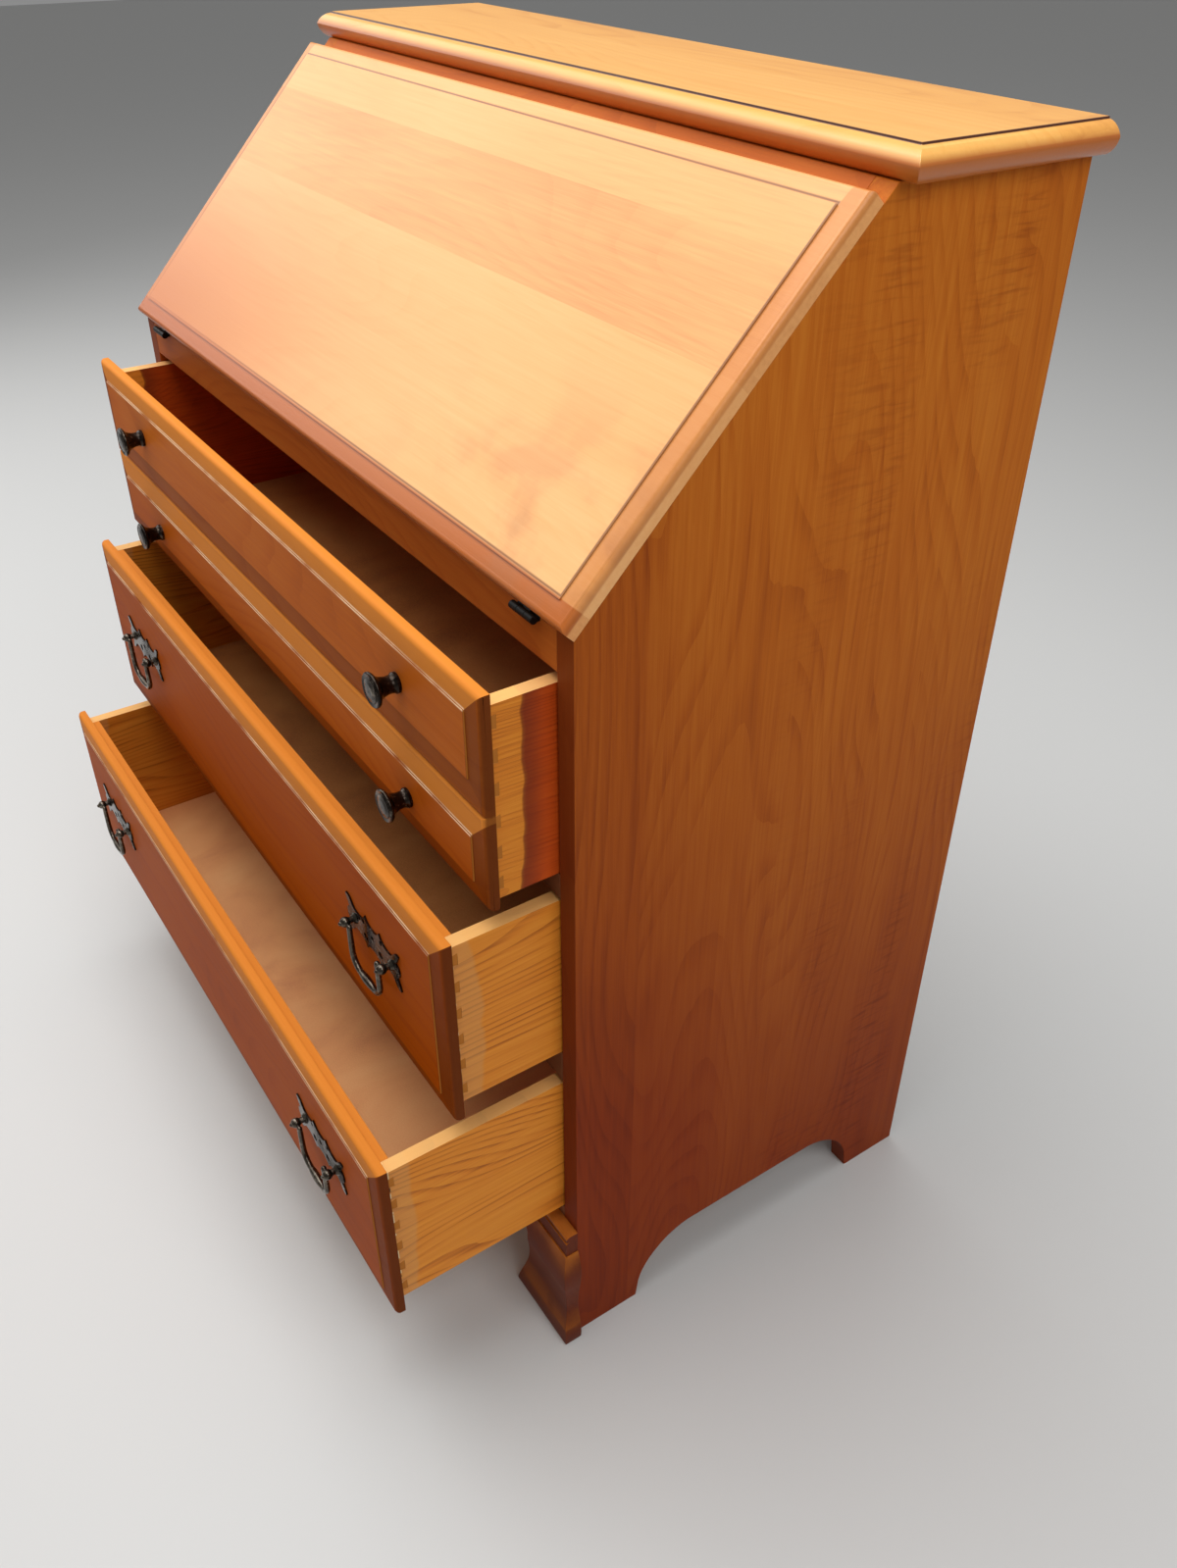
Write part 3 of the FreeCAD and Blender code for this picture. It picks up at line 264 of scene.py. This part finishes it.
def lid_maple():
    """The lid: grain along its width, boards of slightly different tone, golden towards the lower left.

    The bands, darker with painted shade, the quirk line, dark with painted shade, and the worn corner are
    only on its outer face.
    """
    g = Graph("maple_lid")
    colour, fibres, (x, y, z) = wood_tone(g, "X", LID_MAPLE_AND_SHEEN, board=0.083, seed=7.2, rings=0.05, blotch=0.4,
                                          boards=0.24, lean=SLANT)
    low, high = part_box("lid_panel")
    turn = Matrix.Rotation(-SLANT, 3, "X")
    centre = (turn @ ((low + high) / 2)).y
    length = ((turn @ high).y - (turn @ low).y) / 2
    outer = max((turn @ vertex.co).z for vertex in nodes["lid_panel"].data.vertices)
    outward = g.fade(z, outer - 0.0095, outer - 0.0075)
    field_centre, field_high = centre + 0.002, length - LID_BAND - 0.006
    field_side, field_foot = high.x - LID_BAND, field_centre - field_high
    # painted shade: a dark line in the quirk round the field
    line = frame_line(g, x, y, field_centre, field_side - 0.0006, field_high, 0.0, 0.0016)
    quirk_shade = g.mix(g.times(line, outward, 0.8), colour, srgb(92, 44, 18))
    golden = g.times(g.fade(x, 0.2, -0.4), g.fade(y, centre + 0.1, centre - 0.16))
    gilt = g.mix(g.times(golden, 0.9), quirk_shade, srgb(190, 100, 26))
    # painted shade on the band below the field and, less, on the bands at its sides
    below = g.times(g.fade(y, field_foot, field_foot - 0.002), outward)
    beside = g.times(g.fade(g.size(x), field_side, field_side + 0.001), outward)
    shaded_bands = g.mix(g.times(below, 0.9), gilt, srgb(176, 88, 20))
    shaded_bands = g.mix(g.times(beside, g.less(1.0, below), 0.6), shaded_bands, srgb(196, 114, 42))
    spot = g.noise(g.stretched((x, y, z), (14.0, 18.0, 1.0)), detail=4.0, distortion=0.3)
    corner = g.times(g.fade(x, 0.05, 0.36), g.fade(y, centre + 0.02, centre - 0.13))
    worn = g.times(corner, outward, g.fade(spot, 0.4, 0.62), 0.45)
    return varnish(g, g.mix(worn, shaded_bands, srgb(168, 104, 62)), fibres, roughness=0.4, coat=0.2, gloss=0.25)


def top_maple():
    """The top board: grain along its width; a dark quirk line of painted shade on the front and both ends.
    """
    g = Graph("maple_top")
    colour, fibres, (x, y, z) = wood_tone(g, "X", TOP_MAPLE, board=0.09, seed=1.3, rings=0.16, boards=0.18)
    low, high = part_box("top_board")
    front, end = low.y + TOP_QUIRK, high.x - TOP_QUIRK
    across = g.size(x)
    inside = g.fade(across, end + 0.0007, end - 0.0003)
    behind = g.fade(y, front - 0.0007, front + 0.0003)
    # painted shade: a dark line along the quirk at the front and both ends
    line = g.most(g.times(g.fade(g.size(g.less(y, front)), *TOP_LINE), inside),
                  g.times(g.fade(g.size(g.less(across, end)), *TOP_LINE), behind))
    upward = g.fade(z, high.z - 0.004, high.z - 0.0015)
    # painted shade on the rounded nose, where the edge turns down from the top
    shaded_nose = g.fade(g.facing()[2], 0.75, 0.3)
    nosed = g.mix(g.times(shaded_nose, 0.9), colour, srgb(182, 94, 30))
    return varnish(g, g.mix(g.times(line, upward), nosed, srgb(78, 36, 16)), fibres)


def drawer_fields():
    """The height and half size of each field on the drawer fronts."""
    fields = []
    for name in DRAWERS:
        low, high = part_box(name + "_drawer_front")
        if name == "top":
            spans = [(low.z + BAND, VALLEY_HEIGHT - VALLEY_BAND),
                     (VALLEY_HEIGHT + VALLEY_BAND, high.z - BAND)]
        else:
            spans = [(low.z + BAND, high.z - BAND)]
        fields += [((top + bottom) / 2, high.x - BAND, (top - bottom) / 2) for bottom, top in spans]
    return fields


def band_mask(g, beyond, beside):
    """1 on the band above or below a field, as far as the mitres at its ends."""
    inside = g.times(g.fade(beyond, 0.0, 0.001), g.fade(beyond, VALLEY_BAND + 0.001, VALLEY_BAND))
    return g.times(inside, g.fade(g.less(beyond, beside), -MITRE, MITRE))


def front_maple():
    """The drawer fronts: grain along their width, darker on the lower drawers, end grain with paler pins.

    Round each field runs a dark quirk line of painted shade, its top arris worn, with a painted highlight.
    The band above the field is paler with painted light, the one below and those at the ends are darker with
    painted shade.
    """
    g = Graph("maple_front")
    colour, fibres, (x, y, z) = wood_tone(g, "X", FRONT_MAPLE, board=0.17, seed=5.7, rings=0.12, blotch=0.45)
    darker = g.mix(1.0, colour, srgb(226, 196, 20), "MULTIPLY")
    colour = g.mix(g.fade(z, 0.66, 0.52), colour, darker)
    bright, dark, above, below, ends = 0.0, 0.0, 0.0, 0.0, 0.0
    across = g.size(x)
    for centre, half_wide, half_high in drawer_fields():
        rise = g.less(z, centre)
        over, under = g.add(rise, -half_high), g.add(g.times(rise, -1.0), -half_high)
        beside = g.add(across, -half_wide)
        # painted shade: a dark line in the quirk round each field
        dark = g.most(dark, frame_line(g, x, z, centre, half_wide, half_high, 0.0002, 0.0010))
        # painted highlight along each field's top arris
        arris = g.times(g.fade(g.size(over), 0.0018, 0.0005), g.fade(beside, 0.0005, -0.0005))
        bright = g.most(bright, arris)
        # painted light on the band above each field, painted shade on the band below it
        above = g.most(above, band_mask(g, over, beside))
        below = g.most(below, band_mask(g, under, beside))
        # painted shade on the bands at each field's ends
        past_mitre = g.fade(g.less(beside, g.most(over, under)), -MITRE, MITRE)
        ends = g.most(ends, g.times(g.fade(beside, 0.0, 0.001), past_mitre))
    # the painted light and shade of the bands and quirk lines go into the colour here
    for mask, amount, tone in ((above, 0.7, srgb(224, 140, 56)), (below, 0.45, srgb(96, 44, 14)),
                               (ends, 0.6, srgb(96, 44, 16)), (dark, 0.5, srgb(84, 38, 14))):
        colour = g.mix(g.times(mask, amount), colour, tone)
    # the arris highlight is painted, broken into patches like wear and kept to faces turned to the front
    rub = g.fade(g.noise(g.stretched((x, y, z), (25.0, 1.0, 25.0)), detail=3.0), 0.25, 0.6)
    forward = g.fade(g.facing()[1], -0.2, -0.6)
    worn = g.mix(g.times(bright, rub, forward, 0.95), colour, srgb(255, 222, 180))
    end = g.fade(g.size(g.facing()[0]), 0.5, 0.9)
    pin = g.times(end, g.fade(across, PIN_FACE + 0.0005, PIN_FACE))
    ended = g.mix(g.times(end, 0.7), worn, srgb(96, 46, 18))
    pinned = g.mix(g.times(pin, 0.85), ended, srgb(196, 124, 52))
    return varnish(g, pinned, fibres, roughness=0.5, coat=0.0, gloss=0.03)


# ---------------------------------------------------------------- drawer boxes and inner parts
def drawer_oak(name, stained):
    """A drawer's sides: open oak grain, paler on the sawn top edge, chips along the joint with the front.

    A stained side turns red and darkest just behind a ragged line; a plain one is paler in front of one.
    """
    g = Graph("oak_" + name)
    rings, fibre, ring_size = (0.25, 0.6, 0.3) if stained else (0.5, 0.5, 0.6)
    colour, fibres, parts = wood_tone(g, "Y", OAK, board=0.4, seed=2.1 + len(name), rings=rings,
                                      fibre=fibre, blotch=0.25, ring_size=ring_size)
    distance = g.less(parts[1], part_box(name + "_drawer_side_right")[0].y)
    ragged = g.add(distance, g.swing(g.noise(g.stretched(parts, (1.0, 1.0, 16.0)), detail=3.0), 0.03))
    if stained:
        red = g.mix(1.0, colour, srgb(226, 150, 120), "MULTIPLY")
        behind = g.times(g.fade(ragged, 0.0245, 0.0265), g.fade(ragged, 0.05, 0.028))
        base = g.mix(g.fade(ragged, 0.024, 0.029), colour, red)
        base = g.mix(g.times(behind, 0.65), base, srgb(92, 34, 10))
    else:
        base = g.mix(g.times(g.fade(ragged, 0.021, 0.017), 0.35), colour, srgb(206, 156, 98))
    chips = g.noise(g.stretched(parts, (1.0, 1.0, 90.0)), detail=2.0)
    joint = g.times(g.fade(distance, 0.0030, 0.0022), g.fade(distance, 0.0008, 0.0014))
    base = g.mix(g.times(joint, g.fade(chips, 0.54, 0.58)), base, srgb(244, 226, 176))
    base = g.mix(g.times(joint, g.fade(chips, 0.44, 0.4)), base, srgb(40, 22, 12))
    upward = g.fade(g.facing()[2], 0.6, 0.95)
    topped = g.mix(g.times(upward, 0.75), base, srgb(236, 186, 116))
    return varnish(g, topped, fibres, roughness=0.55, coat=0.0, depth=0.0003, gloss=0.2)


def hardboard(name, tones):
    """Smooth reddish-brown hardboard, matt, with a faint felted mottle and scuffs."""
    g = Graph(name)
    parts = g.place()
    felt = g.noise(g.stretched(parts, (900.0, 900.0, 900.0)), detail=3.0)
    stain = g.noise(g.stretched(parts, (10.0, 7.0, 1.0)), detail=4.0, distortion=1.5)
    colour = g.ramp(g.add(g.times(felt, 0.4), g.times(stain, 0.6)), list(zip((0.25, 0.5, 0.75), tones)))
    g.put(g.shader.inputs["Base Color"], colour)
    g.put(g.shader.inputs["Roughness"], g.add(0.62, g.swing(stain, 0.2)))
    g.bump(felt, 0.0001)
    return g.material


def inner_wood():
    """Plain secondary wood inside the case, dull and brown."""
    g = Graph("inner_wood")
    colour, fibres, _ = wood_tone(g, "X", INNER_WOOD, seed=9.1)
    return varnish(g, colour, fibres, roughness=0.65, coat=0.0, gloss=0.2)


# ---------------------------------------------------------------- metal
DARK_BRONZE = (srgb(24, 20, 18), srgb(54, 46, 40), srgb(140, 130, 116))
RUBBED_BRONZE = (srgb(56, 50, 44), srgb(92, 84, 74), srgb(150, 142, 130))
IRON, BRASS, STEEL = (0.02, 0.019, 0.018), (0.62, 0.44, 0.18), (0.5, 0.5, 0.5)


def antique_bronze(name, tones):
    """Dark antiqued bronze, rubbed bright in patches where it is handled."""
    g = Graph(name)
    parts = g.place()
    patina = g.noise(g.stretched(parts, (260.0, 260.0, 260.0)), detail=4.0)
    rub = g.noise(g.stretched(parts, (70.0, 70.0, 70.0)), detail=2.0)
    colour = g.ramp(g.add(g.times(patina, 0.5), g.times(rub, 0.5)), list(zip((0.35, 0.55, 0.72), tones)))
    g.put(g.shader.inputs["Base Color"], colour)
    g.put(g.shader.inputs["Metallic"], 0.95)
    g.put(g.shader.inputs["Roughness"], g.add(0.24, g.swing(patina, 0.25)))
    g.bump(patina, 0.00012)
    return g.material


def plain_metal(name, colour, roughness):
    """Satin metal with a faint cloudy polish."""
    g = Graph(name)
    cloud = g.noise(g.stretched(g.place(), (300.0, 300.0, 300.0)), detail=3.0)
    dull = tuple(0.5 * level for level in colour)
    g.put(g.shader.inputs["Base Color"], g.mix(g.times(cloud, 0.5), colour, dull))
    g.put(g.shader.inputs["Metallic"], 0.9)
    g.put(g.shader.inputs["Roughness"], g.add(roughness, g.swing(cloud, 0.2)))
    return g.material


# ---------------------------------------------------------------- finishes on the frame
def dress(names, material, bevel=0.0):
    """Give CAD nodes a material and, where it is wanted, soft arrises of the bevel's width."""
    for name in names:
        piece = nodes[name]
        piece.data.materials.clear()
        piece.data.materials.append(material)
        if bevel:
            weld = piece.modifiers.new("Weld", "WELD")
            weld.merge_threshold = 1e-5
            soft = piece.modifiers.new("Arrises", "BEVEL")
            soft.width = bevel
            soft.segments = 2
            soft.limit_method = "ANGLE"
            soft.angle_limit = math.radians(40)
            for face in piece.data.polygons:
                face.use_smooth = True
            piece.modifiers.new("Normals", "WEIGHTED_NORMAL")


rail_maple = plain_maple("maple_rail", "X", seed=4.4)
upright_maple = plain_maple("maple_upright", "Z", seed=6.1)
oak_small = drawer_oak("middle", False)
bronze = antique_bronze("antique_bronze", DARK_BRONZE)
rubbed_bronze = antique_bronze("rubbed_bronze", RUBBED_BRONZE)

dress(["side_panel_left", "side_panel_right"], side_maple(), 0.0007)
dress(["top_board"], top_maple(), 0.0004)
dress(["lid_panel"], lid_maple(), 0.0004)
dress(["top_rail", "front_rail"], rail_maple, 0.0005)
dress(["base_moulding", "bracket_foot_left", "bracket_foot_right"], shaded_worn_base(), 0.0005)
dress(["writing_board", "gallery_shelf", "gallery_top",
       "small_drawer_left_front", "small_drawer_right_front"],
      plain_maple("maple_inside", "X", seed=8.8), 0.0005)
dress(["gallery_ends", "gallery_dividers"], upright_maple, 0.0005)
dress([name + "_drawer_front" for name in DRAWERS], front_maple(), 0.0004)
for name in DRAWERS:
    oak = drawer_oak(name, name == "top") if name != "middle" else oak_small
    dress([name + "_drawer_side_left", name + "_drawer_side_right", name + "_drawer_back"], oak, 0.0006)
# the top and middle drawer bottoms: the same hardboard, darker with painted shade
dress(["top_drawer_bottom", "middle_drawer_bottom"], hardboard("hardboard_shaded", SHADED_HARDBOARD))
dress(["bottom_drawer_bottom"], hardboard("hardboard", PALE_HARDBOARD))
dress(["small_drawer_left_tray", "small_drawer_right_tray"], oak_small, 0.0004)
dress(["upper_divider_rail", "lower_divider_rail", "bottom_rail", "drawer_runners", "drawer_kickers",
       "back_panel", "glue_blocks"], inner_wood(), 0.0005)
dress(["knobs", "small_drawer_left_knob", "small_drawer_right_knob"], bronze)
for name in DRAWERS[1:]:
    dress([name + "_drawer_backplates"], bronze, 0.0003)
    dress([name + "_drawer_posts", name + "_drawer_bail_left", name + "_drawer_bail_right"], rubbed_bronze)
dress(["hinge_leaves_case", "hinge_leaves_lid", "hinge_pins"], plain_metal("black_iron", IRON, 0.5))
dress(["stay_plates_case", "stay_arms_case", "stay_arms_lid", "stay_brackets_lid"],
      plain_metal("stay_brass", BRASS, 0.35))
dress(["knob_screws"], plain_metal("screw_steel", STEEL, 0.4))


# ---------------------------------------------------------------- stage
FLOOR_REACH = 12.0
SKY_STRENGTH = 0.26
LIT_POINT = Vector((0, 0.1, 0.5))       # every light faces this point
LIGHTS = (("sky", (-0.3, -0.3, 3.2), 2.4, 80.0),
          ("window", (-2.2, -0.7, 1.95), 2.2, 26.0),
          ("fill", (2.2, 0.0, 2.5), 1.4, 26.0))     # name, place, side in metres, power in watts
CAM_AZ, CAM_EL, CAM_ROLL = 55.474, 35.33, 0.512
CAM_PLACE = (0.98921, -0.49491, 1.1593)
CAM_LENS = 29.962
CAM_SHIFT = (-0.00801, -0.01295)


def floor_and_lights():
    """A pale floor, an even white sky, and three square lights: overhead, at the left and at the right."""
    g = Graph("pale_floor")
    g.put(g.shader.inputs["Base Color"], (0.62, 0.62, 0.61))
    g.put(g.shader.inputs["Roughness"], 0.9)
    mesh = bpy.data.meshes.new("floor")
    reach = FLOOR_REACH
    mesh.from_pydata([(-reach, -reach, 0), (reach, -reach, 0), (reach, reach, 0), (-reach, reach, 0)], [],
                     [(0, 1, 2, 3)])
    mesh.materials.append(g.material)
    floor = bpy.data.objects.new("floor", mesh)
    bpy.context.scene.collection.objects.link(floor)
    world = bpy.data.worlds.new("studio")
    bpy.context.scene.world = world
    world.use_nodes = True
    background = world.node_tree.nodes["Background"]
    background.inputs[0].default_value = (1.0, 1.0, 1.0, 1.0)
    background.inputs[1].default_value = SKY_STRENGTH
    for name, at, size, power in LIGHTS:
        light = bpy.data.lights.new(name, "AREA")
        light.size = size
        light.energy = power
        lamp = bpy.data.objects.new(name, light)
        lamp.location = at
        lamp.rotation_mode = "QUATERNION"
        lamp.rotation_quaternion = (LIT_POINT - Vector(at)).to_track_quat("-Z", "Y")
        bpy.context.scene.collection.objects.link(lamp)


def camera():
    """The viewpoint: from the front right, a little above the top, looking down."""
    azimuth, elevation, roll = math.radians(CAM_AZ), math.radians(CAM_EL), math.radians(CAM_ROLL)
    forward = Vector((-math.sin(azimuth) * math.cos(elevation), math.cos(azimuth) * math.cos(elevation),
                      -math.sin(elevation)))
    level = forward.cross(Vector((0, 0, 1))).normalized()
    upright = level.cross(forward)
    right = level * math.cos(roll) + upright * math.sin(roll)
    up = upright * math.cos(roll) - level * math.sin(roll)
    data = bpy.data.cameras.new("camera")
    data.lens = CAM_LENS
    data.sensor_width = 36.0
    data.shift_x, data.shift_y = CAM_SHIFT
    made = bpy.data.objects.new("camera", data)
    turn = Matrix((right, up, -forward)).transposed().to_4x4()
    made.matrix_world = Matrix.Translation(CAM_PLACE) @ turn
    bpy.context.scene.collection.objects.link(made)
    bpy.context.scene.camera = made


floor_and_lights()
camera()
bpy.context.scene.view_settings.view_transform = "Standard"
